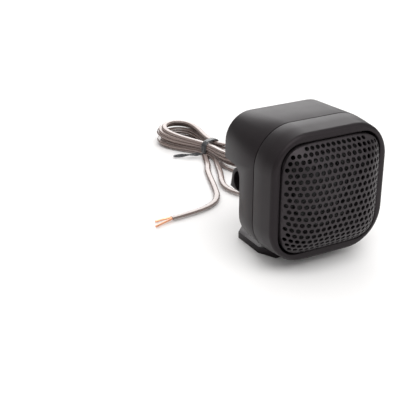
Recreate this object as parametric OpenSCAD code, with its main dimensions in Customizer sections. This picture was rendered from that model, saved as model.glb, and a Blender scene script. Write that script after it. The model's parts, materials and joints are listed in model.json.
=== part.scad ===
// Tilting and swivelling surface-mount tweeter, standing on its mounting plate.
// +Z is up, the grille faces -Y. The origin is on the swivel axis, on the plate's underside.

/* [Body] */
// Width and height of the square body at its seam
body_w = 48; // [46:0.5:50]
// Width and height of the front rim
rim_w = 46.8; // [45:0.2:47.6]
// Width and height at the back of the body
back_w = 44; // [43:0.5:45]
// Depth of the body, rim to back
body_d = 33.8; // [33:0.2:36]
// Depth of the front shell, rim to seam
front_d = 10.8; // [10:0.2:12]
// Depth from the rim to the ledge above which the body is cut away
ledge_d = 21.2; // [21:0.1:21.5]
// Thickness of the shells' walls
wall = 2; // [1.6:0.1:2.2]

/* [Grille] */
// Width of the opening for the grille
grille_w = 40.4; // [39:0.2:41]
// Height of the grille's dome above the rim
grille_rise = 7; // [5:0.5:8]
// Thickness of the grille's sheet
grille_t = 0.8; // [0.6:0.1:1]

/* [Bracket] */
// Width of the mounting plate
plate_w = 32.4; // [31:0.2:34]
// Thickness of the mounting plate
plate_t = 2.5; // [2.3:0.1:2.5]
// Distance between the two screw holes
hole_spacing = 21.3; // [20:0.1:22]
// Radius of the screw holes
hole_r = 2.5; // [2:0.1:2.6]
// Width of the swivel arm over its two cheeks
arm_w = 37.8; // [36:0.2:37.8]
// Height of the tilt pivot above the table
pivot_z = 24.9; // [24.5:0.1:25]

/* [Driver] */
// Radius of the dome
dome_r = 10; // [9:0.5:10]
// Radius of the driver's front frame
driver_r = 19.2; // [18.5:0.1:19.3]

/* [Cable] */
// Width of the flat twin lead
lead_w = 2.6; // [2.2:0.1:2.6]
// Thickness of the flat twin lead
lead_t = 1.3; // [1.1:0.1:1.3]

/* [Hidden] */
$fn = 48;
hull_fn = 40;

black = [0.07, 0.07, 0.08];
steel_black = [0.12, 0.12, 0.13];
steel = [0.62, 0.63, 0.65];
copper = [0.80, 0.50, 0.32];
clear = [0.85, 0.66, 0.55];

// Places along the body, front to back, and its axis
body_z = 27.3;
back_y = 5;
rim_y = back_y - body_d;
seam_y = rim_y + front_d;
ledge_y = rim_y + ledge_d;
step_z = body_z + 6;
step_fillet = 4.5;
pivot_y = -0.6;

// Corner radii of the square outline at the rim, the seam and the back
rim_r = 13.8;
seam_r = 14.2;
back_r = 10;
grille_r = 7.9;
grille_sides = 48;
seam_gap = 0.25;

// Places of the case screws, left and right of the middle, and their sizes
low_screw = [17.5, 10];
high_screw = [16, 44];
screw_r = 1.2;
head_r = 2.4;
head_h = 1.4;
boss_r = 3.1;
// How deep the low screws' heads sit, and where the high screws' tunnels end behind the seam
sink = 1.6;
tunnel_floor = 3;

// Tilt lug and swivel arm
lug_r = 3.4;
lug_w = 25.2;
pivot_r = 1.5;
washer_t = 0.3;
cheek_t = arm_w / 2 - lug_w / 2 - washer_t;
arm_round = 5.2;
arm_floor_z = 18.5;
neck_r = 6;
spigot_r = 5.1;
bore_gap = 0.06;
recess_r = 6.2;
recess_h = 1.15;
plate_front = -16.6;
plate_back = 7.3;

// Driver, front to back
frame_y = -25.4;
gasket_t = 0.9;
frame_t = 2;
plate_y = -19.6;
top_plate_t = 2;
magnet_t = 4;
yoke_t = 2;
motor_r = 15.5;
pole_r = 9.2;
coil_r = dome_r - 0.3;
coil_t = 0.35;
dome_h = 3.6;

// Cable: where it leaves the body, and the points of its run and of its tail
exit = [20.2, -1, step_z];
grommet_r = 1.75;
run_points = [[20.2, -1, 33], [20.2, -1, 29], [20.2, -0.9, 25], [20.2, -0.6, 21],
  [20.3, 0, 17], [20.7, 1.6, 13], [21.4, 4.4, 9.4], [21.9, 8.2, 6.2], [21.8, 12.6, 3.8],
  [20.6, 17.4, 2.1], [18, 22, 1.4], [14.2, 26, 1.3], [9.8, 29.6, 1.3], [5.6, 33.8, 1.3],
  [2.8, 39, 1.3], [2, 44.8, 1.3], [3.4, 50.4, 1.3], [5.8, 55.6, 1.3], [8.2, 60.8, 1.3],
  [10.2, 65.9, 1.3]];
tail_points = [[8.3, 72.5, 1.3], [6.9, 69.4, 1.3], [4.4, 65, 1.3], [1.8, 58.5, 1.3], [-0.8, 51, 1.3],
  [-3.2, 44.5, 1.3], [-5.6, 39, 1.3], [-9.5, 34, 1.3], [-15, 31, 1.3], [-21, 29.6, 1.3],
  [-27, 28.8, 1.3], [-31.5, 28.4, 1.3]];
core_points = [[-31.5, 28.4, 1.3], [-35, 28, 1.1], [-39, 27.4, 0.9]];
hank_low = [22, 62];
hank_high = [10, 104];
hank_r = 10.5;
hank_h = 11;

// ---- Shapes that repeat ----

// Round bar along Y
module bar_y(r, y0, y1, x = 0, z = 0) {
  translate([x, y1, z]) rotate([90, 0, 0]) cylinder(r = r, h = y1 - y0);
}

// Round bar along X
module bar_x(r, x0, x1, y = pivot_y, z = pivot_z) {
  translate([x0, y, z]) rotate([0, 90, 0]) cylinder(r = r, h = x1 - x0);
}

// Square outline with round corners
module round_square(half, corner, fn = hull_fn) {
  flat = half - corner;
  square([2 * half, 2 * flat], center = true);
  square([2 * flat, 2 * half], center = true);
  for (i = [-1, 1], j = [-1, 1]) translate([i * flat, j * flat]) circle(r = corner, $fn = fn);
}

// Thin slab of that outline across the body's axis
module slab(y, half, corner) {
  translate([0, y, body_z]) rotate([90, 0, 0])
    linear_extrude(0.02, center = true) round_square(half, corner);
}

// Solid that blends through several outlines, each given as [y, half width, corner radius]
module loft(levels) {
  hull() for (l = levels) slab(l[0], l[1], l[2]);
}

// Straight block of that outline between two depths
module block_y(y0, y1, half, corner) {
  translate([0, y1, body_z]) rotate([90, 0, 0])
    linear_extrude(y1 - y0) round_square(half, corner, 48);
}

// Ring along Y
module ring_y(r_out, r_in, y0, y1) {
  translate([0, y1, body_z]) rotate([90, 0, 0]) difference() {
    cylinder(r = r_out, h = y1 - y0);
    translate([0, 0, -1]) cylinder(r = r_in, h = y1 - y0 + 2);
  }
}

// Countersunk cross recess
module cross_recess(size, depth) {
  for (a = [0, 90]) rotate([0, 0, a]) cube([size, size / 4, 2 * depth], center = true);
}

// Screw along +Z with a flat round head below z = 0, its recess in the head
module screw(shank_r, shank_l, r, h) {
  difference() {
    translate([0, 0, -h]) cylinder(r = r, h = h);
    translate([0, 0, -h]) cross_recess(1.3 * r, 0.55 * h);
  }
  cylinder(r = shank_r, h = shank_l);
}

// Places of the four case screws
module at_case_screws() {
  for (s = [-1, 1]) {
    translate([s * low_screw[0], 0, low_screw[1]]) children(0);
    translate([s * high_screw[0], 0, high_screw[1]]) children(1);
  }
}

// Unit vector, and the direction of a route at one of its points
function unit(v) = v / norm(v);
function heading(p, i) = unit(p[min(i + 1, len(p) - 1)] - p[max(i - 1, 0)]);
// Side direction of a flat cord: level, across the route
function across(d, side) = unit(side - (side * d) * d);
// Ring of eight points round a route's point
function ring_at(c, d, w, t, side) = let (u = across(d, side), v = cross(d, u))
  [for (k = [0:7]) c + u * (w / 2) * cos(45 * k + 22.5) * 1.08 + v * (t / 2) * sin(45 * k + 22.5) * 1.08];
// Point of a smooth curve through four neighbours
function spline(a, b, c, d, t) = 0.5 * (2 * b + (c - a) * t + (2 * a - 5 * b + 4 * c - d) * t * t
  + (3 * b - a - 3 * c + d) * t * t * t);
function smooth(p, steps) = let (n = len(p)) [
  for (i = [0:n - 2], s = [0:steps - 1])
    spline(p[max(i - 1, 0)], p[i], p[i + 1], p[min(i + 2, n - 1)], s / steps),
  p[n - 1]];

// Which way a lead that comes down beside the arm is wide: along Y at its exit, across its run below
function turned(z) = let (t = min(1, max(0, (30 - z) / 26))) [t, 1 - t, 0];

// Flat cord swept along a route as one closed polyhedron
module cord(route, w, t, comes_down = false) {
  n = len(route);
  rings = [for (i = [0:n - 1]) let (d = heading(route, i))
    each ring_at(route[i], d, w, t, comes_down ? turned(route[i][2]) : cross([0, 0, 1], d))];
  quads = [for (i = [0:n - 2], k = [0:7]) let (a = i * 8 + k, b = i * 8 + (k + 1) % 8)
    [a, a + 8, b + 8, b]];
  polyhedron(points = rings, faces = concat([[for (k = [0:7]) k]], quads,
    [[for (k = [7:-1:0]) (n - 1) * 8 + k]]), convexity = 6);
}

// ---- Body ----

module front_shell() {
  color(black) difference() {
    union() {
      difference() {
        loft([[seam_y, body_w / 2, seam_r], [rim_y + 1.8, rim_w / 2, rim_r],
          [rim_y + 0.5, rim_w / 2 - 0.5, rim_r - 0.4], [rim_y + 0.01, rim_w / 2 - 1.2, rim_r - 1]]);
        loft([[seam_y + 1, body_w / 2 - wall, seam_r - wall],
          [rim_y + 2.2, rim_w / 2 - wall, rim_r - wall]]);
      }
      // Screw bosses in the corners
      intersection() {
        at_case_screws() {
          bar_y(boss_r, rim_y + 2, seam_y - seam_gap);
          bar_y(boss_r, rim_y + 2, seam_y - seam_gap);
        }
        loft([[seam_y, body_w / 2 - 1, seam_r - 1], [rim_y + 1.8, rim_w / 2 - 1, rim_r - 1]]);
      }
    }
    block_y(rim_y - 1, rim_y + 4, grille_w / 2, grille_r);
    // Seat for the driver's frame and its gasket
    bar_y(driver_r + 0.15, rim_y + 2.2, seam_y + 1, 0, body_z);
    at_case_screws() {
      bar_y(screw_r, rim_y + 4, seam_y + 1);
      bar_y(screw_r, rim_y + 4, seam_y + 1);
    }
    translate([-40, seam_y - seam_gap / 2, -20]) cube([80, 3, 100]);
  }
}

// The room behind the ledge, below the step, where the swivel arm works
module arm_room() {
  translate([-40, 0, 0]) rotate([90, 0, 90]) linear_extrude(80) {
    translate([ledge_y + step_fillet, -10]) square([40, step_z + 10]);
    translate([ledge_y, -10]) square([40, step_z - step_fillet + 10]);
    translate([ledge_y + step_fillet, step_z - step_fillet]) circle(r = step_fillet);
  }
}

// The hollow inside the rear shell: the front chamber, and the block above the step
module rear_hollow() {
  intersection() {
    loft([[seam_y - 1, body_w / 2 - wall, seam_r - wall],
      [back_y - wall, back_w / 2 - wall, back_r - wall]]);
    translate([-40, 0, 0]) rotate([90, 0, 90]) linear_extrude(80) {
      translate([seam_y - 2, 0]) square([ledge_y - wall - seam_y + 2, 60]);
      translate([seam_y, step_z + wall]) square([40, 30]);
    }
  }
}

module rear_shell() {
  color(black) difference() {
    union() {
      difference() {
        loft([[seam_y, body_w / 2, seam_r], [back_y - 0.8, back_w / 2 + 0.1, back_r],
          [back_y - 0.01, back_w / 2 - 0.7, back_r - 0.8]]);
        arm_room();
        difference() {
          rear_hollow();
          // Tunnels of the high screws and the block round the cable's exit
          for (s = [-1, 1]) bar_y(head_r + 1.3, seam_y - 1, back_y, s * high_screw[0], high_screw[1]);
          for (s = [-1, 1]) bar_y(boss_r, seam_y - 1, back_y, s * low_screw[0], low_screw[1]);
          translate([exit[0] - 3, exit[1] - 3, step_z]) cube([8, 6, 5]);
        }
      }
      // Tilt lug
      translate([-lug_w / 2, ledge_y - 1, pivot_z - lug_r])
        cube([lug_w, pivot_y - ledge_y + 1, 2 * lug_r]);
      bar_x(lug_r, -lug_w / 2, lug_w / 2);
    }
    for (s = [-1, 1]) {
      // High screws: a deep tunnel for the head, a clearance hole through its floor
      bar_y(head_r, seam_y + tunnel_floor, back_y + 1, s * high_screw[0], high_screw[1]);
      bar_y(screw_r + 0.2, seam_y - 1, seam_y + 4, s * high_screw[0], high_screw[1]);
      // Low screws, in shallow counterbores in the ledge
      bar_y(head_r, ledge_y - sink, ledge_y + 1, s * low_screw[0], low_screw[1]);
      bar_y(screw_r + 0.2, seam_y - 1, ledge_y, s * low_screw[0], low_screw[1]);
    }
    // Threads of the pivot screws
    bar_x(pivot_r, -lug_w / 2 - 1, -lug_w / 2 + 8);
    bar_x(pivot_r, lug_w / 2 - 8, lug_w / 2 + 1);
    // Way for the cable
    translate([exit[0] - 3.2, exit[1], step_z + 3]) cube([6.4, 3, 4.2], center = true);
    translate([exit[0], exit[1], step_z - 1]) cylinder(r = grommet_r, h = 5.1);
    translate([-40, seam_y - 3 + seam_gap / 2, -20]) cube([80, 3, 100]);
  }
}

// Ring of points round the grille at a share of its width, on its dome or on the dome's inside
function grille_ring(share, y, inset) = let (half = grille_w / 2 - 0.35 - inset)
  [for (k = [0:grille_sides - 1]) let (a = 360 * k / grille_sides,
    r = share * half * pow(pow(abs(cos(a)), 5) + pow(abs(sin(a)), 5), -0.2))
    [r * cos(a), y, body_z + r * sin(a)]];
// Depth of the dome at a share of its width
function dome_y(share) = rim_y - 0.3 - grille_rise * (1 - pow(share, 4));

module grille() {
  shares = [1, 0.95, 0.87, 0.76, 0.6, 0.35];
  rings = concat([grille_ring(1, rim_y + 2.1, 0)],
    [for (s = shares) grille_ring(s, dome_y(s), 0)],
    [for (i = [len(shares) - 1:-1:0]) grille_ring(shares[i], dome_y(shares[i]) + grille_t, grille_t)],
    [grille_ring(1, rim_y + 2.1, grille_t)]);
  n = grille_sides;
  m = len(rings);
  front = [0, dome_y(0), body_z];
  inside = [0, dome_y(0) + grille_t, body_z];
  half = len(shares);
  faces = [for (j = [0:m - 1], k = [0:n - 1]) if (j != half)
    [j * n + k, j * n + (k + 1) % n, ((j + 1) % m) * n + (k + 1) % n, ((j + 1) % m) * n + k]];
  color(steel_black) polyhedron(points = concat([for (r = rings) each r], [front, inside]),
    faces = concat(faces,
      [for (k = [0:n - 1]) [half * n + k, half * n + (k + 1) % n, m * n]],
      [for (k = [0:n - 1]) [(half + 1) * n + (k + 1) % n, (half + 1) * n + k, m * n + 1]]),
    convexity = 4);
}

// ---- Driver ----

module driver_gasket() {
  color([0.2, 0.2, 0.2]) ring_y(driver_r, driver_r - 3, rim_y + 2.25, frame_y);
}

module driver_frame() {
  color(black) {
    ring_y(driver_r, dome_r + 3.4, frame_y, frame_y + frame_t);
    ring_y(motor_r + 1.6, motor_r - 0.6, frame_y + frame_t, plate_y);
    ring_y(motor_r + 1.6, motor_r + 0.1, plate_y, plate_y + 3);
  }
}

// Dome of thin film, a cap of a sphere
module dome() {
  cap_r = (dome_r * dome_r + dome_h * dome_h) / (2 * dome_h);
  color([0.25, 0.25, 0.27]) intersection() {
    translate([0, frame_y - dome_h + cap_r, body_z]) difference() {
      sphere(r = cap_r);
      sphere(r = cap_r - 0.15);
    }
    bar_y(dome_r - 0.05, frame_y - dome_h - 1, frame_y, 0, body_z);
  }
}

// Half-roll surround, from the dome's edge to the frame
module surround() {
  roll = 1.7;
  mid = dome_r + roll;
  color(black) translate([0, frame_y, body_z]) rotate([90, 0, 0]) rotate_extrude() {
    translate([mid, 0]) intersection() {
      difference() {
        circle(r = roll);
        circle(r = roll - 0.2);
      }
      translate([-4, 0]) square([8, 4]);
    }
    translate([mid + roll - 0.2, 0]) square([0.8, 0.2]);
    translate([dome_r - 0.8, -0.2]) square([0.8 + 0.2, 0.2]);
  }
}

module coil_former() {
  color([0.8, 0.7, 0.5]) ring_y(coil_r, coil_r - 0.12, frame_y + 0.2, plate_y + top_plate_t + 0.6);
}

module voice_coil() {
  color(copper) ring_y(coil_r + coil_t, coil_r, plate_y - 0.6, plate_y + top_plate_t + 0.6);
}

module top_plate() {
  color(steel) ring_y(motor_r, coil_r + coil_t + 0.35, plate_y, plate_y + top_plate_t);
}

module magnet() {
  color([0.16, 0.16, 0.17]) ring_y(motor_r - 0.5, dome_r + 1.6, plate_y + top_plate_t,
    plate_y + top_plate_t + magnet_t);
}

module pole_yoke() {
  color(steel) {
    ring_y(motor_r, 2, plate_y + top_plate_t + magnet_t, plate_y + top_plate_t + magnet_t + yoke_t);
    ring_y(pole_r, 2, plate_y, plate_y + top_plate_t + magnet_t);
  }
}

// Small board on the frame's back, beside the motor, that holds the two tags
module terminal_strip() {
  color([0.45, 0.28, 0.14]) translate([-6, frame_y + frame_t, body_z + 17.3]) cube([12, 4.6, 1.2]);
}

module terminal_tags() {
  color(steel) for (s = [-1, 1])
    translate([s * 3.6 - 1.2, frame_y + frame_t + 1, body_z + 18.5]) {
      cube([2.4, 6, 0.4]);
      translate([0, 5.6, 0]) cube([2.4, 0.4, 1.8]);
    }
}

// ---- Rear block ----

module capacitor() {
  color([0.1, 0.1, 0.32]) bar_x(3.9, -9, 7, -3, step_z + wall + 0.6 + 3.9);
}

module capacitor_pad() {
  color([0.85, 0.85, 0.8]) translate([-7, -5.4, step_z + wall]) cube([12, 4.8, 0.6]);
}

// Wires from the cable's exit to the capacitor, and from there to the two tags
module hookup_wires() {
  wire = 0.9;
  top = step_z + wall + 4.5;
  tag_z = body_z + 18;
  color([0.7, 0.1, 0.1]) cord([[7, -3, top], [9, -3, top], [12, -2, top - 1], [14.6, -1, top - 2.4],
    [17, -0.8, step_z + 3.2], [18.6, -0.7, step_z + 3]], wire, wire);
  color([0.7, 0.1, 0.1]) cord([[-9, -3, top], [-11, -4, top], [-11.4, -8, top], [-9, -12, top + 2],
    [-5.6, -15, top + 4.4], [-3.6, -17.2, tag_z]], wire, wire);
  color(black) cord([[3.6, -17.2, tag_z], [6, -13, top + 3], [9.4, -10, top + 1], [11, -6, top - 3.4],
    [13.6, -3.4, top - 4], [17, -1.9, top - 3.9], [18.6, -1.8, step_z + 2.6]], wire, wire);
}

// Case screws, heads at the back
module case_screws() {
  color(steel_black) at_case_screws() {
    translate([0, ledge_y - sink, 0]) rotate([90, 0, 0]) screw(screw_r, 14, head_r - 0.2, head_h);
    translate([0, seam_y + tunnel_floor, 0]) rotate([90, 0, 0]) screw(screw_r, 8, head_r - 0.2, head_h);
  }
}

// Grommet in the step, with the cable's flat hole
module cable_grommet() {
  color(black) translate([exit[0], exit[1], step_z]) difference() {
    union() {
      translate([0, 0, -0.8]) cylinder(r = grommet_r + 0.35, h = 0.8);
      cylinder(r = grommet_r, h = 2.4);
    }
    translate([0, 0, -2]) cube([lead_t + 0.1, lead_w + 0.1, 12], center = true);
  }
}

// ---- Bracket ----

// Side outline of the arm: round about the pivot, tapering down to its floor
module arm_outline() {
  hull() {
    translate([pivot_y, pivot_z]) circle(r = arm_round, $fn = hull_fn);
    translate([-3.9, arm_floor_z]) square([9.9, 0.8]);
  }
}

module swivel_arm() {
  half = arm_w / 2;
  color(black) difference() {
    union() {
      // The two cheeks
      for (s = [-1, 1]) translate([s * (half - cheek_t / 2), 0, 0]) rotate([90, 0, 90])
        linear_extrude(cheek_t, center = true) arm_outline();
      // Floor between the cheeks, and the web behind them
      translate([-half + 3.3, -3.9, arm_floor_z]) cube([arm_w - 6.6, 10, 1.6]);
      translate([-half + 1, 4.6, arm_floor_z]) cube([arm_w - 2, 1.6, 4.6]);
      // Neck down to the plate, and the spigot in it
      translate([0, 0, plate_t + 0.15]) cylinder(r = neck_r, h = arm_floor_z - plate_t);
      translate([0, 0, 0.35]) cylinder(r = spigot_r, h = plate_t);
    }
    // Bevels between the cheeks and the floor
    for (s = [-1, 1]) translate([s * half, 0, arm_floor_z]) rotate([0, 45, 0])
      cube([3.8, 30, 3.8], center = true);
    // Counterbores and holes of the pivot screws
    for (s = [-1, 1]) {
      x = s > 0 ? half - 3.4 : -half - 1;
      bar_x(3.9, x, x + 4.4);
    }
    bar_x(pivot_r + 0.08, -half - 1, half + 1);
    // The hollow of the spigot, round its hub and between its four ribs
    difference() {
      translate([0, 0, -1]) cylinder(r = 4.3, h = 11);
      translate([0, 0, 1.5]) cylinder(r = 2.9, h = 20);
      for (a = [20, 110]) rotate([0, 0, a]) translate([-5, -0.6, 1.2]) cube([10, 1.2, 20]);
    }
    translate([0, 0, -1]) cylinder(r = 1.5, h = 9);
    // Groove for the retaining ring
    difference() {
      translate([0, 0, 0.55]) cylinder(r = 6, h = 0.6);
      translate([0, 0, 0.5]) cylinder(r = 4.75, h = 0.7);
    }
  }
}

module pivot_screws() {
  color(steel) for (s = [-1, 1]) translate([s * (arm_w / 2 - 3.4), pivot_y, pivot_z])
    rotate([0, -90 * s, 0]) screw(pivot_r, 10.5, 2.6, 1.3);
}

module friction_washers() {
  color(steel) for (s = [-1, 1]) difference() {
    x = s > 0 ? lug_w / 2 : -lug_w / 2 - washer_t;
    bar_x(3.2, x, x + washer_t);
    bar_x(1.6, x - 1, x + washer_t + 1);
  }
}

// Split ring in the spigot's groove, under the plate's shoulder
module retaining_ring() {
  color(steel) difference() {
    translate([0, 0, 0.55]) cylinder(r = recess_r - 0.4, h = 0.5);
    cylinder(r = 4.75, h = 3);
    translate([-0.9, 0, 0]) cube([1.8, 10, 3]);
  }
}

module mounting_plate() {
  half = plate_w / 2;
  front_cut = [3.3, 6.6];
  back_cut = 3.4;
  color(black) difference() {
    union() {
      linear_extrude(plate_t) polygon([[-half, plate_front + front_cut[1]],
        [-half + front_cut[0], plate_front], [half - front_cut[0], plate_front],
        [half, plate_front + front_cut[1]], [half, plate_back - back_cut],
        [half - back_cut, plate_back], [-half + back_cut, plate_back], [-half, plate_back - back_cut]]);
      // Moulding gate in the middle of the back edge
      translate([-1.2, plate_back - 0.1, 0.3]) cube([2.4, 0.5, 1.2]);
    }
    translate([0, 0, -1]) cylinder(r = spigot_r + bore_gap, h = 10);
    translate([0, 0, -1]) cylinder(r = recess_r, h = 1 + recess_h);
    for (s = [-1, 1]) translate([s * hole_spacing / 2, -6.6, -1]) cylinder(r = hole_r, h = 10);
    // Round marks in the underside
    translate([0, -10.7, -1]) cylinder(r = 2.8, h = 1.3);
    for (s = [-1, 1]) translate([s * 10.5, 2.8, -1]) cylinder(r = 2.5, h = 1.3);
  }
}

// ---- Cable ----

module lead_run() {
  color(clear) cord(smooth(run_points, 3), lead_w, lead_t, true);
}

module lead_tail() {
  color(clear) cord(smooth(tail_points, 2), lead_w, lead_t);
}

// The two stripped and tinned cores
module bare_ends() {
  color(copper) for (s = [-1, 1])
    cord([for (i = [0:2]) core_points[i] + s * [0.25, 0.6, 0] * (1 + 1.2 * i)], 0.8, 0.8);
}

// Outer shape of the hank, an upright-sided bar with round ends
module lead_hank() {
  along = hank_high - hank_low;
  turn = atan2(along[1], along[0]);
  color(clear) translate([hank_low[0], hank_low[1], 0]) rotate([0, 0, turn]) linear_extrude(hank_h) {
    circle(r = hank_r);
    translate([norm(along), 0]) circle(r = hank_r);
    translate([0, -hank_r]) square([norm(along), 2 * hank_r]);
  }
}

module twist_tie() {
  mid = (hank_low + hank_high) / 2;
  turn = atan2(hank_high[1] - hank_low[1], hank_high[0] - hank_low[0]);
  color(black) translate([mid[0], mid[1], 0]) rotate([0, 0, turn]) difference() {
    translate([-1.6, -hank_r - 0.8, 0]) cube([3.2, 2 * hank_r + 1.6, hank_h + 0.8]);
    translate([-3, -hank_r, -1]) cube([6, 2 * hank_r, hank_h + 1]);
  }
}

front_shell();
rear_shell();
grille();
driver_gasket();
driver_frame();
dome();
surround();
coil_former();
voice_coil();
top_plate();
magnet();
pole_yoke();
terminal_strip();
terminal_tags();
hookup_wires();
capacitor();
capacitor_pad();
case_screws();
cable_grommet();
swivel_arm();
pivot_screws();
friction_washers();
retaining_ring();
mounting_plate();
lead_run();
lead_hank();
lead_tail();
bare_ends();
twist_tie();
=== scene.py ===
"""Surface-mount tweeter on its tilting bracket: the looks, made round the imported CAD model."""

import json
import math

import bmesh
import bpy
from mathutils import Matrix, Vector


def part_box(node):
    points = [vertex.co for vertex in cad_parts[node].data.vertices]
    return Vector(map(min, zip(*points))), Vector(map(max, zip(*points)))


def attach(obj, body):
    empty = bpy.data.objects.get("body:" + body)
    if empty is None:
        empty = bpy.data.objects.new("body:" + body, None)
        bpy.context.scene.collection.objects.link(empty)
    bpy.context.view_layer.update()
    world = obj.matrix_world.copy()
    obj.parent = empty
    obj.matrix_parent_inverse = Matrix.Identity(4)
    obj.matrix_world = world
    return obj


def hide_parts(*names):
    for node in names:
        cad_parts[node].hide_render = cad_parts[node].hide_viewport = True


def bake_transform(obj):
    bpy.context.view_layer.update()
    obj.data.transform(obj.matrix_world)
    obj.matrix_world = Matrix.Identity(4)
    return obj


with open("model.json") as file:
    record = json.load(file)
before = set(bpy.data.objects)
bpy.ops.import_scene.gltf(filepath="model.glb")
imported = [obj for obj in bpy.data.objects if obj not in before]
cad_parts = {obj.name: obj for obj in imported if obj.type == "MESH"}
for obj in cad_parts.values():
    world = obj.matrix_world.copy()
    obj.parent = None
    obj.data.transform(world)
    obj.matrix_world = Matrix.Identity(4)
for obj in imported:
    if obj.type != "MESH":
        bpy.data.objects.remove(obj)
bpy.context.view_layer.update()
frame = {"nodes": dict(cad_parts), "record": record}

bl_info = {
    "name": "Surface-mount tweeter",
    "version": (1, 0, 0),
    "blender": (4, 5, 0),
    "location": "View3D > Sidebar > Tweeter",
    "description": "Makes the casing, grille, bracket, driver finishes and lead of a small tweeter",
    "category": "Object",
}

MM = 0.001

# Places that come from the CAD model, in metres
SHELL_LOW, SHELL_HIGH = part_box("front_shell")
GRILLE_LOW, GRILLE_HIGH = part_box("grille")
RIM_Y = SHELL_LOW[1]
SEAM_Y = SHELL_HIGH[1]
AXIS_Z = (SHELL_LOW[2] + SHELL_HIGH[2]) / 2
SEAM_HALF = (SHELL_HIGH[0] - SHELL_LOW[0]) / 2
GRILLE_HALF = (GRILLE_HIGH[0] - GRILLE_LOW[0]) / 2
GRILLE_TOP_Y = GRILLE_LOW[1]
GRILLE_BACK_Y = GRILLE_HIGH[1]

# Casing, in metres: its wall, how much less the rim's half width is than the seam's, the corner
# radii, the grille's room in the opening, and the opening's rounded lip and depth
WALL = 2 * MM
DRAFT = 0.6 * MM
SEAM_CORNER, RIM_CORNER, OPENING_CORNER = 14.2 * MM, 13.9 * MM, 7.9 * MM
GRILLE_ROOM = 0.35 * MM
OPENING_LIP = 0.45 * MM
OPENING_DEPTH = 2.2 * MM
# How much further back the front wall's inner face lies at the sides than at the opening
BACK_SLOPE = 0.1 * MM
# Rounded edge at the seam, in mm: inset from the seam, corner radius, distance in front of it
SEAM_EDGE = [(0.25, 14.0, 0), (0.06, 14.15, 0.06), (0, 14.2, 0.25)]
# How much of the rim's rounding its corner radius follows
CORNER_FOLLOW = 0.9

# Grille, in metres: how far the dome's edge stands in front of the rim, and its rise from there
LIP = 0.3 * MM
GRILLE_RISE = RIM_Y - LIP - GRILLE_TOP_Y
# Powers of the rounded square outline and of the dome's profile
OUTLINE_POWER = 5
DOME_POWER = 4
# Shares of the flat sheet's half width: where the holes end, where no more cells are laid, and
# past which an open edge is the outline's
HOLES_END, CELLS_END, EDGE = 0.95, 1.1, 0.99
# Corners of a cell and of its hole, sides of the outline, and the share within which corners join
CELL_CORNERS = 12
OUTLINE_SIDES = 96
JOIN_DISTANCE = 0.0012

# The lead's route from the grommet to the hank, and its free end, in mm, as in the part's source
RUN = [
    (20.2, -1, 33), (20.2, -1, 29), (20.2, -0.9, 25), (20.2, -0.6, 21), (20.3, 0, 17),
    (20.7, 1.6, 13), (21.4, 4.4, 9.4), (21.9, 8.2, 6.2), (21.8, 12.6, 3.8), (20.6, 17.4, 2.1),
    (18, 22, 1.4), (14.2, 26, 1.3), (9.8, 29.6, 1.3), (5.6, 33.8, 1.3), (2.8, 39, 1.3),
    (2, 44.8, 1.3), (3.4, 50.4, 1.3), (5.8, 55.6, 1.3), (8.2, 60.8, 1.3), (10.2, 65.9, 1.3),
]
TAIL = [
    (8.3, 72.5, 1.3), (6.9, 69.4, 1.3), (4.4, 65, 1.3), (1.8, 58.5, 1.3), (-0.8, 51, 1.3),
    (-3.2, 44.5, 1.3), (-5.6, 39, 1.3), (-9.5, 34, 1.3), (-15, 31, 1.3), (-21, 29.6, 1.3),
    (-27, 28.8, 1.3), (-31.5, 28.4, 1.3),
]
# The ends of the hank's middle line
HANK_LOW = Vector((22, 62, 0))
HANK_HIGH = Vector((10, 104, 0))
# Of each turn: how far it reaches along the hank, and its half width at the near and far ends
TURNS = [
    (30.2, 7.9, 9.0), (28.6, 7.1, 7.8), (29.6, 7.6, 8.5), (27.8, 6.9, 7.2),
    (30.4, 8.0, 9.1), (28.5, 7.0, 7.6), (29.3, 7.6, 8.2),
]
# Where the first turn is joined and the last one left, in radians from the near end
WIND_START, WIND_END = 1.224, 4.389
# The last part of each turn, in which it passes over to the next turn's size and layer
PASS_OVER = 0.3
# Share of their width that the turns keep under the tie, and how far from it, in mm, they have
# all of it again
PINCH, PINCH_REACH = 0.36, 20
# The lowest layer's height and the step up to the next, in mm, and the share of that height that
# the turns lose half way between their ends
LAYER_LOW, LAYER_STEP, LAYER_PRESS = 0.8, 1.28, 0.36
# Where the last turn runs out under the tie: along, to the left and up, in mm
HANK_EXIT = (0, 3.8, 0.9)
# Height at which the falling lead begins to turn, and the height it loses meanwhile, in metres
TURN_FROM, TURN_OVER = 30 * MM, 26 * MM
# How much thinner the twin lead is between its cores
WAIST = 0.3
# Points that the lead's curve has for each point of the run, and of the hank and free end
RUN_STEPS, HANK_STEPS = 4, 2

# The tie's wraps round the hank, in mm: half width and height, and middle height. Then the power
# that makes them squarer than an ellipse
TIE_HALF_WIDTH, TIE_HALF_HEIGHT, TIE_HEIGHT, TIE_ROUND = 4.6, 3.3, 3.75, 0.7
TIE_POINTS, TIE_POINTS_A_WRAP = 60, 29
# Angle at which the wraps begin, and in mm how far before the hank's middle they do so and how
# far along it each point moves on
TIE_START = 0.9 * math.pi
TIE_BACK, TIE_ADVANCE = 1, 0.035
# Widths of the band and of its twisted ends, and the thickness of both, in metres
TIE_BAND, TIE_TWISTED, TIE_THICKNESS = 1.9 * MM, 1.5 * MM, 0.8 * MM
# The ends' middle line, in mm, and their turn from each point to the next, in radians
TIE_ENDS = [(9.9, 79.8, 2.6), (8, 80.9, 2.3), (5.4, 82.6, 2), (2.4, 84.6, 1.5), (-1, 87, 1)]
TIE_TWIST = 0.2


# ---- Sizes and colours ----


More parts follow.
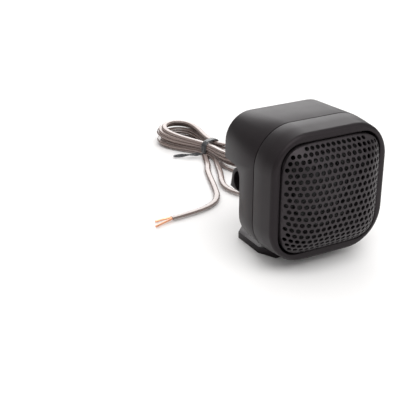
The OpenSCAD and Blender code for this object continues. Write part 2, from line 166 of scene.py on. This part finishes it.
class TweeterSizes(bpy.types.PropertyGroup):
    rim_radius: bpy.props.FloatProperty(
        name="Rim radius", description="Rounding of the front rim", default=0.0015,
        unit="LENGTH",
    )
    hole_pitch: bpy.props.FloatProperty(
        name="Hole pitch", description="Distance between grille holes", default=0.00228,
        unit="LENGTH",
    )
    row_spacing: bpy.props.FloatProperty(
        name="Row spacing", description="Distance between rows of holes", default=0.00228,
        unit="LENGTH",
    )
    hole_radius: bpy.props.FloatProperty(
        name="Hole radius", description="Radius of a grille hole", default=0.00087,
        unit="LENGTH",
    )
    sheet: bpy.props.FloatProperty(
        name="Grille sheet", description="Thickness of the grille", default=0.0006,
        unit="LENGTH",
    )
    lead_width: bpy.props.FloatProperty(
        name="Lead width", description="Width of the flat twin lead", default=0.0026,
        unit="LENGTH",
    )
    lead_thickness: bpy.props.FloatProperty(
        name="Lead thickness", description="Thickness of the lead", default=0.0013,
        unit="LENGTH",
    )
    lead_turns: bpy.props.IntProperty(
        name="Hank turns", description="Turns of lead in the hank", default=7, min=1
    )


def colour_property(name, description, default):
    return bpy.props.FloatVectorProperty(
        name=name, description=description, default=default, subtype="COLOR", size=3, min=0, max=1
    )


class TweeterColours(bpy.types.PropertyGroup):
    casing: colour_property("Casing", "Black moulded plastic", (0.0078, 0.0062, 0.0068))
    grille: colour_property("Grille", "Black paint on the steel grille", (0.0135, 0.0115, 0.0125))
    screw: colour_property("Screws", "Dark chromed screws", (0.16, 0.15, 0.15))
    steel: colour_property("Steel", "Zinc-plated steel", (0.55, 0.56, 0.58))
    copper: colour_property("Copper", "Bare copper", (0.72, 0.36, 0.22))
    insulation: colour_property("Insulation", "Clear insulation of the lead", (0.44, 0.365, 0.34))


def sizes():
    return bpy.context.scene.tweeter_sizes


def colours():
    return bpy.context.scene.tweeter_colours


# ---- Materials ----

WARM_SHEEN = (1.0, 0.89, 0.95)
DULL_CORE = (0.075, 0.04, 0.03)
# How much of a core shows through, from the lead's middle line to its outer edge; the drop at the
# last stop is a painted highlight along the lead's sides
CORE_STOPS_WITH_EDGE_HIGHLIGHT = [(0.0, 0.05), (0.45, 0.1), (0.68, 0.9), (0.9, 0.8), (1.0, 0.3)]


def socket_value(shader, **values):
    for name, value in values.items():
        shader.inputs[name.replace("_", " ")].default_value = value


def finish_material(name, colour, roughness, metallic=0.0, patch=120, vary=0.12, grain=2600,
                    grain_depth=0.00002, grain_strength=0.25, coat=0.0, coat_rough=0.2,
                    specular=0.5, gloss_vary=0.06, tint=(1, 1, 1)):
    """A finish with slow patches in its colour and gloss, and a fine grain in its surface."""
    material = bpy.data.materials.new(name)
    material.use_nodes = True
    nodes, links = material.node_tree.nodes, material.node_tree.links
    shader = nodes["Principled BSDF"]
    socket_value(shader, Metallic=metallic, Coat_Weight=coat, Coat_Roughness=coat_rough)
    shader.inputs["Specular IOR Level"].default_value = specular
    shader.inputs["Specular Tint"].default_value = (*tint, 1)
    where = nodes.new("ShaderNodeTexCoord")
    slow = nodes.new("ShaderNodeTexNoise")
    socket_value(slow, Scale=patch, Detail=5.0, Roughness=0.6)
    links.new(where.outputs["Object"], slow.inputs["Vector"])
    ramp = nodes.new("ShaderNodeValToRGB")
    ramp.color_ramp.elements[0].position = 0.3
    ramp.color_ramp.elements[1].position = 0.7
    ramp.color_ramp.elements[0].color = [c * (1 - vary) for c in colour] + [1]
    ramp.color_ramp.elements[1].color = [min(1, c * (1 + vary)) for c in colour] + [1]
    links.new(slow.outputs["Fac"], ramp.inputs["Fac"])
    links.new(ramp.outputs["Color"], shader.inputs["Base Color"])
    gloss = nodes.new("ShaderNodeMapRange")
    gloss.inputs["To Min"].default_value = roughness - gloss_vary
    gloss.inputs["To Max"].default_value = roughness + gloss_vary
    links.new(slow.outputs["Fac"], gloss.inputs["Value"])
    links.new(gloss.outputs["Result"], shader.inputs["Roughness"])
    fine = nodes.new("ShaderNodeTexNoise")
    socket_value(fine, Scale=grain, Detail=3.0, Roughness=0.55)
    links.new(where.outputs["Object"], fine.inputs["Vector"])
    bump = nodes.new("ShaderNodeBump")
    socket_value(bump, Strength=grain_strength, Distance=grain_depth)
    links.new(fine.outputs["Fac"], bump.inputs["Height"])
    links.new(bump.outputs["Normal"], shader.inputs["Normal"])
    return material


def lead_material():
    """Clear insulation over two copper cores, told apart by the piece's own 'across' attribute, with
    a painted highlight at the very edge.
    """
    material = finish_material("clear_twin_lead", colours().insulation, 0.2, patch=300, vary=0.1,
                               grain=900, grain_strength=0.1, coat=0.5, coat_rough=0.12)
    nodes, links = material.node_tree.nodes, material.node_tree.links
    shader = nodes["Principled BSDF"]
    pale = shader.inputs["Base Color"].links[0].from_socket
    across = nodes.new("ShaderNodeAttribute")
    across.attribute_name = "across"
    core_and_edge_highlight = nodes.new("ShaderNodeValToRGB")
    stops = core_and_edge_highlight.color_ramp.elements
    # Dark over the real copper cores, paler again at the very edge: that pale edge is a painted
    # highlight
    for stop, (place, value) in zip(stops, [CORE_STOPS_WITH_EDGE_HIGHLIGHT[0], CORE_STOPS_WITH_EDGE_HIGHLIGHT[-1]]):
        stop.position, stop.color = place, (value, value, value, 1)
    for place, value in CORE_STOPS_WITH_EDGE_HIGHLIGHT[1:-1]:
        stops.new(place).color = (value, value, value, 1)
    links.new(across.outputs["Fac"], core_and_edge_highlight.inputs["Fac"])
    mix = nodes.new("ShaderNodeMix")
    mix.data_type = "RGBA"
    links.new(core_and_edge_highlight.outputs["Color"], mix.inputs["Factor"])
    links.new(pale, mix.inputs["A"])
    mix.inputs["B"].default_value = (*DULL_CORE, 1)
    links.new(mix.outputs["Result"], shader.inputs["Base Color"])
    return material


def make_materials():
    c = colours()
    return {
        "black_abs": finish_material("satin_black_abs", c.casing, 0.42, grain=1900, specular=0.25,
                                     tint=WARM_SHEEN, grain_strength=0.35,
                                     grain_depth=0.00003, vary=0.18),
        "black_steel": finish_material("black_painted_steel", c.grille, 0.46, grain=1500,
                                       tint=WARM_SHEEN, grain_strength=0.15, specular=0.4),
        "foam": finish_material("dark_foam", (0.01, 0.01, 0.01), 0.9, grain=700, grain_strength=0.9),
        "dome_film": finish_material("dome_film", (0.01, 0.01, 0.011), 0.5),
        "surround_film": finish_material("surround_film", (0.01, 0.01, 0.01), 0.55, grain=600),
        "former": finish_material("former_film", (0.5, 0.33, 0.14), 0.4),
        "copper": finish_material("bare_copper", c.copper, 0.3, metallic=1.0, grain=1400,
                                  grain_strength=0.5),
        "zinc_steel": finish_material("zinc_plated_steel", c.steel, 0.32, metallic=1.0, grain=1200),
        "ferrite": finish_material("ferrite", (0.06, 0.06, 0.062), 0.55, grain=900),
        "board": finish_material("phenolic_board", (0.3, 0.15, 0.06), 0.5, grain=1100),
        "wire_pvc": finish_material("red_wire", (0.45, 0.03, 0.03), 0.3, coat=0.3),
        "capacitor_sleeve": finish_material("capacitor_sleeve", (0.03, 0.04, 0.2), 0.25, coat=0.4),
        "dark_screw": finish_material("dark_chrome", c.screw, 0.22, metallic=1.0, grain=1000,
                                      grain_strength=0.2),
        "rubber": finish_material("black_rubber", (0.018, 0.018, 0.018), 0.6, grain=1300),
        "clear_pvc": lead_material(),
        "tie_paper": finish_material("black_tie", (0.02, 0.021, 0.024), 0.35, grain=800, coat=0.4),
    }


def paint(obj, material):
    obj.data.materials.clear()
    obj.data.materials.append(material)


# ---- Modelling helpers ----


def only(obj):
    """Object mode, with this object alone selected and active."""
    if bpy.context.object and bpy.context.object.mode != "OBJECT":
        bpy.ops.object.mode_set(mode="OBJECT")
    bpy.ops.object.select_all(action="DESELECT")
    obj.select_set(True)
    bpy.context.view_layer.objects.active = obj


def quarter_turn(steps):
    """The angles from 0 to 90 degrees, in equal steps."""
    return [math.radians(90 * step / steps) for step in range(steps + 1)]


def square_ring(half, corner, y, steps=14):
    """Points round a square outline with round corners, across the body's axis."""
    flat = half - corner
    points = []
    for q, (i, j) in enumerate([(1, 1), (-1, 1), (-1, -1), (1, -1)]):
        for s in range(steps + 1):
            a = math.radians(90 * q + 90 * s / steps)
            points.append(Vector((i * flat + corner * math.cos(a), y,
                                  AXIS_Z + j * flat + corner * math.sin(a))))
    return points


def extrude_through(name, rings, closed=False):
    """A circle shaped as the first ring, and extruded through the others."""
    bpy.ops.object.select_all(action="DESELECT")
    bpy.ops.mesh.primitive_circle_add(vertices=len(rings[0]), radius=0.01)
    obj = bpy.context.object
    obj.name = obj.data.name = name
    for vertex, point in zip(obj.data.vertices, rings[0]):
        vertex.co = obj.matrix_world.inverted() @ point
    only(obj)
    bpy.ops.object.mode_set(mode="EDIT")
    bpy.ops.mesh.select_all(action="SELECT")
    place = {i: i for i in range(len(rings[0]))}
    for ring in rings[1:]:
        bpy.ops.mesh.extrude_region_move()
        mesh = bmesh.from_edit_mesh(obj.data)
        mesh.verts.index_update()
        new = [v for v in mesh.verts if v.select]
        moved = {}
        for v in new:
            source = next(e.other_vert(v) for e in v.link_edges if not e.other_vert(v).select)
            moved[v.index] = place[source.index]
            v.co = ring[place[source.index]]
        place = moved
        bmesh.update_edit_mesh(obj.data)
    bpy.ops.mesh.select_all(action="SELECT")
    if closed:
        bpy.ops.mesh.remove_doubles(threshold=1e-7)
    bpy.ops.mesh.normals_make_consistent(inside=False)
    bpy.ops.object.mode_set(mode="OBJECT")
    return obj


def smooth(obj, degrees=35):
    only(obj)
    bpy.ops.object.shade_smooth_by_angle(angle=math.radians(degrees))


def bevelled(obj, width, segments=3, degrees=30):
    """Rounds the edges that are sharper than the angle, and smooths the rest."""
    only(obj)
    modifier = obj.modifiers.new("Rounded edges", "BEVEL")
    modifier.width = width
    modifier.segments = segments
    modifier.limit_method = "ANGLE"
    modifier.angle_limit = math.radians(degrees)
    bpy.ops.object.modifier_apply(modifier=modifier.name)
    smooth(obj)


def softened_copy(node, name, width, segments=2, degrees=30):
    """A CAD node's shape with its loose triangles joined and its edges rounded, in its place."""
    source = frame["nodes"][node]
    obj = bpy.data.objects.new(name, source.data.copy())
    bpy.context.scene.collection.objects.link(obj)
    only(obj)
    bpy.ops.object.mode_set(mode="EDIT")
    bpy.ops.mesh.select_all(action="SELECT")
    bpy.ops.mesh.remove_doubles(threshold=2e-6)
    bpy.ops.mesh.dissolve_limited(angle_limit=math.radians(1.5))
    bpy.ops.object.mode_set(mode="OBJECT")
    bevelled(obj, width, segments, degrees)
    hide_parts(node)
    return obj


def body_of(node):
    return next(b for b, n in frame["record"]["behaviour"]["bodies"].items() if node in n)


def slot_of(node):
    return next(s["material_slot"] for s in frame["record"]["subparts"] if s["node"] == node)


def finished(obj, node):
    """Paints a piece with the finish of the CAD node that it stands for, and mounts it on that
    node's body.
    """
    paint(obj, MATERIALS[slot_of(node)])
    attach(obj, body_of(node))


# ---- Pieces ----


class TWEETER_OT_front_shell(bpy.types.Operator):
    """Front shell: drafted sides, a soft rim and the opening for the grille"""

    bl_idname = "tweeter.front_shell"
    bl_label = "Front shell"

    def execute(self, context):
        rim = sizes().rim_radius
        rim_half = SEAM_HALF - DRAFT
        opening = GRILLE_HALF + GRILLE_ROOM
        inner_edge = square_ring(SEAM_HALF - WALL, SEAM_CORNER - WALL, SEAM_Y)
        rings = [inner_edge]
        for inset, corner, ahead in SEAM_EDGE:
            rings.append(square_ring(SEAM_HALF - inset * MM, corner * MM, SEAM_Y - ahead * MM))
        rings.append(square_ring(SEAM_HALF - DRAFT / 2, (SEAM_CORNER + RIM_CORNER) / 2,
                                 (SEAM_Y + RIM_Y) / 2))
        for a in quarter_turn(8):
            inset = rim * (1 - math.cos(a))
            rings.append(square_ring(rim_half - inset, RIM_CORNER - inset * CORNER_FOLLOW,
                                     RIM_Y + rim * (1 - math.sin(a))))
        for a in quarter_turn(4):
            outset = OPENING_LIP * (1 - math.sin(a))
            rings.append(square_ring(opening + outset, OPENING_CORNER + outset,
                                     RIM_Y + OPENING_LIP * (1 - math.cos(a))))
        rings += [
            square_ring(opening, OPENING_CORNER, RIM_Y + OPENING_DEPTH),
            square_ring(rim_half - WALL, RIM_CORNER - WALL, RIM_Y + OPENING_DEPTH + BACK_SLOPE),
            inner_edge,
        ]
        shell = extrude_through("casing_front", rings, closed=True)
        smooth(shell, 40)
        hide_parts("front_shell")
        finished(shell, "front_shell")
        return {"FINISHED"}


class TWEETER_OT_rear_shell(bpy.types.Operator):
    """Rear shell, with its edges rounded"""

    bl_idname = "tweeter.rear_shell"
    bl_label = "Rear shell"

    def execute(self, context):
        finished(softened_copy("rear_shell", "casing_rear", 0.3 * MM, 2, 32), "rear_shell")
        return {"FINISHED"}


def hex_cell(radius, pitch, row):
    """One cell of the sheet: twelve points round a hexagon, and the round hole's twelve in it."""
    tip = (row * row + pitch * pitch / 4) / (2 * row)
    low = row - tip
    quarter = [(pitch / 2, 0), (pitch / 2, low), (pitch / 4, (low + tip) / 2)]
    half = quarter + [(0, tip)] + [(-x, z) for x, z in reversed(quarter[1:])]
    rim = half + [(-x, -z) for x, z in half]
    turns = [2 * math.pi * k / CELL_CORNERS for k in range(CELL_CORNERS)]
    return rim, [(radius * math.cos(a), radius * math.sin(a)) for a in turns]


def share(x, z):
    """How far out a point lies, from 0 in the middle to 1 on the grille's rounded outline."""
    return (abs(x) ** OUTLINE_POWER + abs(z) ** OUTLINE_POWER) ** (1 / OUTLINE_POWER)


def arc_table(steps=200):
    """The length over the dome from its middle to each share of its half width."""
    lengths = [0.0]
    for k in range(steps):
        slope = DOME_POWER * GRILLE_RISE * ((k + 0.5) / steps) ** (DOME_POWER - 1)
        lengths.append(lengths[-1] + math.hypot(GRILLE_HALF, slope) / steps)
    return lengths


ARC = arc_table()


def share_at(level):
    """The share of the half width that a share of the flat sheet is pressed to."""
    wanted = level * ARC[-1]
    k = next(i for i in range(1, len(ARC)) if ARC[i] >= wanted - 1e-12)
    part = (wanted - ARC[k - 1]) / (ARC[k] - ARC[k - 1])
    return (k - 1 + part) / (len(ARC) - 1)


class TWEETER_OT_grille(bpy.types.Operator):
    """Grille: a pressed dome of steel sheet with staggered round holes"""

    bl_idname = "tweeter.grille"
    bl_label = "Grille"

    def execute(self, context):
        s = sizes()
        grille = self.sheet_of_cells(s.hole_pitch, s.row_spacing, s.hole_radius)
        self.press(grille)
        wall = grille.modifiers.new("Sheet", "SOLIDIFY")
        wall.thickness = s.sheet
        wall.offset = -1
        bpy.ops.object.modifier_apply(modifier=wall.name)
        smooth(grille, 40)
        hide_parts("grille")
        finished(grille, "grille")
        return {"FINISHED"}

    def sheet_of_cells(self, pitch, row, radius):
        """The flat sheet, in shares of its half width: hexagons with a hole, plain near the edge."""
        bpy.ops.object.select_all(action="DESELECT")
        bpy.ops.mesh.primitive_plane_add(size=2 * GRILLE_HALF)
        grille = bpy.context.object
        grille.name = grille.data.name = "perforated_grille"
        blank = ARC[-1]
        rows = int(blank / min(row, pitch)) + 2
        sheet = bmesh.new()
        for j in range(-rows, rows + 1):
            for i in range(-rows, rows + 1):
                x0, z0 = (i + 0.5 * (j % 2)) * pitch, j * row
                level = share(x0 / blank, z0 / blank)
                if level > CELLS_END:
                    continue
                rim, inner = hex_cell(radius, pitch, row)
                outer = [sheet.verts.new(((x0 + x) / blank, 0, (z0 + z) / blank)) for x, z in rim]
                hole = [sheet.verts.new(((x0 + x) / blank, 0, (z0 + z) / blank)) for x, z in inner]
                for k in range(CELL_CORNERS):
                    n = (k + 1) % CELL_CORNERS
                    sheet.faces.new((outer[k], outer[n], hole[n], hole[k]))
                if level > HOLES_END:
                    sheet.faces.new(hole)
        bmesh.ops.remove_doubles(sheet, verts=sheet.verts, dist=JOIN_DISTANCE)
        outline = []
        for k in range(OUTLINE_SIDES):
            turn = 2 * math.pi * k / OUTLINE_SIDES
            x, z = math.cos(turn), math.sin(turn)
            outline.append(Vector((x / share(x, z), 0, z / share(x, z))))
        for p, q in zip(outline, outline[1:] + outline[:1]):
            everything = sheet.verts[:] + sheet.edges[:] + sheet.faces[:]
            bmesh.ops.bisect_plane(sheet, geom=everything, plane_co=p, clear_outer=True,
                                   plane_no=Vector((q.z - p.z, 0, p.x - q.x)), dist=1e-5)
        sheet.to_mesh(grille.data)
        sheet.free()
        return grille

    def press(self, grille):
        """The edge turned back as a skirt, and the sheet pressed to its dome."""
        only(grille)
        bpy.ops.object.mode_set(mode="EDIT")
        bpy.context.tool_settings.mesh_select_mode = (False, True, False)
        bpy.ops.mesh.select_all(action="DESELECT")
        mesh = bmesh.from_edit_mesh(grille.data)
        for e in mesh.edges:
            if e.is_boundary and all(share(v.co.x, v.co.z) > EDGE for v in e.verts):
                e.select_set(True)
        bmesh.update_edit_mesh(grille.data)
        bpy.ops.mesh.extrude_region_move()
        mesh = bmesh.from_edit_mesh(grille.data)
        for v in mesh.verts:
            level = min(1, share(v.co.x, v.co.z))
            pressed = share_at(level)
            grow = GRILLE_HALF * (pressed / level if level > 0 else 1)
            rise = GRILLE_RISE * (1 - pressed**DOME_POWER)
            y = GRILLE_BACK_Y if v.select else RIM_Y - LIP - rise
            v.co = Vector((v.co.x * grow, y, AXIS_Z + v.co.z * grow))
        bmesh.update_edit_mesh(grille.data)
        bpy.context.tool_settings.mesh_select_mode = (True, False, False)
        bpy.ops.mesh.select_all(action="SELECT")
        bpy.ops.mesh.normals_make_consistent(inside=False)
        bpy.ops.object.mode_set(mode="OBJECT")
        middle = min(grille.data.polygons, key=lambda f: f.center.y)
        if middle.normal.y > 0:
            bpy.ops.object.mode_set(mode="EDIT")
            bpy.ops.mesh.flip_normals()
            bpy.ops.object.mode_set(mode="OBJECT")


class TWEETER_OT_bracket(bpy.types.Operator):
    """Bracket: the swivel arm and the mounting plate, with moulded edges"""

    bl_idname = "tweeter.bracket"
    bl_label = "Bracket"

    def execute(self, context):
        finished(softened_copy("swivel_arm", "arm_moulding", 0.22 * MM), "swivel_arm")
        finished(softened_copy("mounting_plate", "plate_moulding", 0.2 * MM), "mounting_plate")
        return {"FINISHED"}


class TWEETER_OT_fittings(bpy.types.Operator):
    """Screws, rings, grommet and driver: the CAD shapes with their finishes"""

    bl_idname = "tweeter.fittings"
    bl_label = "Screws and driver"

    def execute(self, context):
        for node, width in [("pivot_screws", 0.12), ("case_screws", 0.12), ("cable_grommet", 0.1)]:
            finished(softened_copy(node, node + "_piece", width * MM), node)
        for node, obj in frame["nodes"].items():
            paint(obj, MATERIALS[slot_of(node)])
        return {"FINISHED"}


# ---- The lead ----


def unit(v):
    return v / max(v.length, 1e-9)


def through(points, steps):
    """Points of a smooth curve through the given ones."""
    out = []
    for i in range(len(points) - 1):
        a, b = points[max(i - 1, 0)], points[i]
        c, d = points[i + 1], points[min(i + 2, len(points) - 1)]
        for k in range(steps):
            t = k / steps
            out.append(0.5 * (2 * b + (c - a) * t + (2 * a - 5 * b + 4 * c - d) * t * t
                              + (3 * b - a - 3 * c + d) * t**3))
    return out + [points[-1]]


def on_hank(along_by, left_by, z):
    """A place on the hank, from its middle."""
    along = unit(HANK_HIGH - HANK_LOW)
    middle = (HANK_LOW + HANK_HIGH) / 2
    return middle + along * along_by + Vector((-along.y, along.x, 0)) * left_by + Vector((0, 0, z))


def loop_place(a, reach, near, far):
    """A place on a turn: a long loop with a round end of its own radius near and far."""
    low, high = -(reach - near), reach - far
    straight = math.hypot(high - low, far - near)
    half = math.pi / 2 * near + straight + math.pi / 2 * far
    part = a / math.pi % 2
    side = 1 if part < 1 else -1
    gone = half * (part if part < 1 else 2 - part)
    if gone < math.pi / 2 * near:
        turn = gone / near
        return -reach + near * (1 - math.cos(turn)), side * near * math.sin(turn)
    gone -= math.pi / 2 * near
    if gone < straight:
        f = gone / straight
        return low + (high - low) * f, side * (near + (far - near) * f)
    turn = (gone - straight) / far
    return high + far * math.sin(turn), side * far * math.cos(turn)


def gentle(t):
    """From 0 to 1 with an even start and end, and level beyond them."""
    t = min(1, max(0, t))
    return t * t * (3 - 2 * t)


def hank_points(turns, steps=40):
    """The hank: long loops laid on each other, drawn together at the tie."""
    # Up by the odd layers, and down again by the even ones
    layers = list(range(1, turns, 2)) + list(range(turns - 1 - (turns - 1) % 2, -1, -2)) + [0]
    around = 2 * math.pi
    first, last = WIND_START, around * (turns - 1) + WIND_END
    count = int(steps * (last - first) / around)
    points = []
    for k in range(count + 1):
        a = first + (last - first) * k / count
        i = int(a / around)
        over = gentle((a / around - i - (1 - PASS_OVER)) / PASS_OVER)

        def eased(values):
            return values[i % len(values)] * (1 - over) + values[(i + 1) % len(values)] * over

        u, v = loop_place(a, *(eased([turn[n] for turn in TURNS]) for n in range(3)))
        width = PINCH + (1 - PINCH) * gentle(abs(u) / PINCH_REACH)
        press = LAYER_PRESS / 2 * (1 - math.cos(2 * a))
        points.append(on_hank(u, v * width, LAYER_LOW + LAYER_STEP * eased(layers) * (1 - press)))
    return points + [on_hank(*HANK_EXIT)]


def flat_sides(path, fall=0, twist=0.0):
    """The way that a flat cord is wide at each point: level, or turning as it comes down a fall."""
    found, last = [], Vector((1, 0, 0))
    for i, c in enumerate(path):
        d = unit(path[min(i + 1, len(path) - 1)] - path[max(i - 1, 0)])
        side = Vector((-d.y, d.x, 0))
        if i < fall:
            t = min(1, max(0, (TURN_FROM - c.z) / TURN_OVER))
            side = Vector((t, 1 - t, 0))
        side = unit(side - d * side.dot(d))
        side = side if side.dot(last) >= 0 else -side
        last = side
        found.append(side * math.cos(twist * i) + d.cross(side) * math.sin(twist * i))
    return found


def flat_cord(name, path, sides, width, thickness, corners=12):
    """A flat tube round a path, with how far out each corner lies as its attribute 'across'."""
    points, faces, across = [], [], []
    for i, c in enumerate(path):
        d = unit(path[min(i + 1, len(path) - 1)] - path[max(i - 1, 0)])
        up = d.cross(sides[i])
        for k in range(corners):
            x, y = math.cos(2 * math.pi * k / corners), math.sin(2 * math.pi * k / corners)
            waist = 1 - WAIST * (1 - abs(x)) ** 2
            points.append(c + sides[i] * (width / 2 * x) + up * (thickness / 2 * y * waist))
            across.append(abs(x))
        if i:
            base = (i - 1) * corners
            for k in range(corners):
                n = (k + 1) % corners
                faces.append((base + k, base + corners + k, base + corners + n, base + n))
    last = (len(path) - 1) * corners
    faces.append(tuple(range(corners)))
    faces.append(tuple(range(last + corners - 1, last - 1, -1)))
    mesh = bpy.data.meshes.new(name)
    mesh.from_pydata(points, [], faces)
    mesh.attributes.new("across", "FLOAT", "POINT").data.foreach_set("value", across)
    obj = bpy.data.objects.new(name, mesh)
    bpy.context.scene.collection.objects.link(obj)
    only(obj)
    bpy.ops.object.mode_set(mode="EDIT")
    bpy.ops.mesh.select_all(action="SELECT")
    bpy.ops.mesh.normals_make_consistent(inside=False)
    bpy.ops.object.mode_set(mode="OBJECT")
    smooth(obj, 50)
    return obj


class TWEETER_OT_lead(bpy.types.Operator):
    """Lead: clear flat twin, from the grommet through the hank to its stripped end"""

    bl_idname = "tweeter.lead"
    bl_label = "Lead"

    def execute(self, context):
        s = sizes()
        run = [Vector(p) for p in RUN]
        rest = [run[-2], run[-1]] + hank_points(s.lead_turns) + [Vector(p) for p in TAIL]
        # The run's last stretch belongs to the curve through the hank, so that the two join
        down = through(run, RUN_STEPS)[:-RUN_STEPS - 1]
        path = [p * MM for p in down + through(rest, HANK_STEPS)]
        lead = flat_cord("twin_lead", path, flat_sides(path, fall=len(down) // 2),
                         s.lead_width, s.lead_thickness)
        paint(lead, MATERIALS["clear_pvc"])
        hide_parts("lead_run", "lead_hank", "lead_tail")
        tie = self.tie()
        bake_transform(lead)
        return {"FINISHED"}

    def tie(self):
        """The twist tie: two wraps of a flat band, and its ends twisted together to the left."""
        loop = []
        for k in range(TIE_POINTS):
            a = 2 * math.pi * k / TIE_POINTS_A_WRAP + TIE_START
            x, z = (math.copysign(abs(f) ** TIE_ROUND, f) for f in (math.cos(a), math.sin(a)))
            loop.append(on_hank(TIE_ADVANCE * k - TIE_BACK, TIE_HALF_WIDTH * x,
                                TIE_HEIGHT + TIE_HALF_HEIGHT * z))
        band_path = [p * MM for p in loop]
        along = [unit(HANK_HIGH - HANK_LOW)] * len(band_path)
        band = flat_cord("tie_band", band_path, along, TIE_BAND, TIE_THICKNESS, 8)
        end_path = [p * MM for p in through([Vector(p) for p in TIE_ENDS], 8)]
        twisted = flat_cord("tie_ends", end_path, flat_sides(end_path, twist=TIE_TWIST),
                            TIE_TWISTED, TIE_THICKNESS, 8)
        only(band)
        twisted.select_set(True)
        bpy.ops.object.join()
        paint(band, MATERIALS["tie_paper"])
        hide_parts("twist_tie")
        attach(band, "arm")
        return band


# ---- Stage ----

# Strength of the room's light near the floor and overhead
ROOM_LOW, ROOM_HIGH = 0.28, 1.1
# The heights between which the room's light grows, as a share of straight up
ROOM_BAND = (0.1, 0.95)
# Name, place in metres, size in metres and power in watts of each lamp
LAMPS = [
    ("back", (0.43, 0.8, 0.43), 0.7, 3.5),
    ("key", (-0.1, -0.5, 0.9), 0.8, 5),
    ("front", (0.5, -0.8, 0.35), 0.6, 1.5),
]
# What the lamps point at, and the camera's place and direction, in metres, and its lens in mm
LAMP_AIM = (0, 0, 0.03)
CAMERA_PLACE = (-0.1739, -0.2572, 0.1527)
CAMERA_DIRECTION = (0.4343, 0.8016, -0.4109)
CAMERA_LENS = 82.2
FLOOR_SIZE = 6


class TWEETER_OT_stage(bpy.types.Operator):
    """Pale floor, soft lights and the camera"""

    bl_idname = "tweeter.stage"
    bl_label = "Stage"

    def execute(self, context):
        bpy.ops.object.select_all(action="DESELECT")
        bpy.ops.mesh.primitive_plane_add(size=FLOOR_SIZE, location=(0, 0, 0))
        floor = bpy.context.object
        floor.name = "floor"
        pale = finish_material("pale_paper", (0.93, 0.925, 0.92), 0.85, patch=3, vary=0.01,
                               grain=300, grain_strength=0.02)
        paint(floor, pale)
        bpy.context.scene.view_settings.view_transform = "Standard"
        self.room()
        for lamp in LAMPS:
            self.lamp(*lamp)
        self.camera()
        return {"FINISHED"}

    def room(self):
        """Light from all round, strong overhead and weak near the floor."""
        world = bpy.data.worlds.new("soft_room")
        bpy.context.scene.world = world
        world.use_nodes = True
        nodes, links = world.node_tree.nodes, world.node_tree.links
        nodes["Background"].inputs["Color"].default_value = (1, 0.99, 0.985, 1)
        where = nodes.new("ShaderNodeTexCoord")
        split = nodes.new("ShaderNodeSeparateXYZ")
        links.new(where.outputs["Generated"], split.inputs["Vector"])
        height = nodes.new("ShaderNodeMapRange")
        height.inputs["From Min"].default_value = ROOM_BAND[0]
        height.inputs["From Max"].default_value = ROOM_BAND[1]
        height.inputs["To Min"].default_value = ROOM_LOW
        height.inputs["To Max"].default_value = ROOM_HIGH
        links.new(split.outputs["Z"], height.inputs["Value"])
        links.new(height.outputs["Result"], nodes["Background"].inputs["Strength"])

    def lamp(self, name, place, size, watts):
        light = bpy.data.lights.new(name, "AREA")
        light.size = size
        light.energy = watts
        obj = bpy.data.objects.new(name, light)
        bpy.context.scene.collection.objects.link(obj)
        obj.location = place
        aim = Vector(LAMP_AIM) - Vector(place)
        obj.rotation_euler = aim.to_track_quat("-Z", "Y").to_euler()

    def camera(self):
        lens = bpy.data.cameras.new("camera")
        lens.lens = CAMERA_LENS
        lens.sensor_width = 36
        lens.clip_start = 0.01
        obj = bpy.data.objects.new("camera", lens)
        bpy.context.scene.collection.objects.link(obj)
        obj.location = CAMERA_PLACE
        obj.rotation_euler = Vector(CAMERA_DIRECTION).to_track_quat("-Z", "Y").to_euler()
        bpy.context.scene.camera = obj


class TWEETER_PT_panel(bpy.types.Panel):
    bl_label = "Tweeter"
    bl_space_type = "VIEW_3D"
    bl_region_type = "UI"
    bl_category = "Tweeter"

    def draw(self, context):
        for group in (context.scene.tweeter_sizes, context.scene.tweeter_colours):
            for name in group.__annotations__:
                self.layout.prop(group, name)
        for operator in OPERATORS:
            self.layout.operator(operator.bl_idname)


OPERATORS = (
    TWEETER_OT_stage,
    TWEETER_OT_lead,
    TWEETER_OT_front_shell,
    TWEETER_OT_rear_shell,
    TWEETER_OT_grille,
    TWEETER_OT_bracket,
    TWEETER_OT_fittings,
)
CLASSES = (TweeterSizes, TweeterColours) + OPERATORS + (TWEETER_PT_panel,)
MATERIALS = {}


def register():
    for item in CLASSES:
        bpy.utils.register_class(item)
    bpy.types.Scene.tweeter_sizes = bpy.props.PointerProperty(type=TweeterSizes)
    bpy.types.Scene.tweeter_colours = bpy.props.PointerProperty(type=TweeterColours)


def unregister():
    del bpy.types.Scene.tweeter_colours
    del bpy.types.Scene.tweeter_sizes
    for item in reversed(CLASSES):
        bpy.utils.unregister_class(item)


def main():
    register()
    MATERIALS.update(make_materials())
    bpy.ops.tweeter.stage()
    bpy.ops.tweeter.lead()
    bpy.ops.tweeter.front_shell()
    bpy.ops.tweeter.rear_shell()
    bpy.ops.tweeter.grille()
    bpy.ops.tweeter.bracket()
    bpy.ops.tweeter.fittings()


if __name__ == "__main__":
    main()
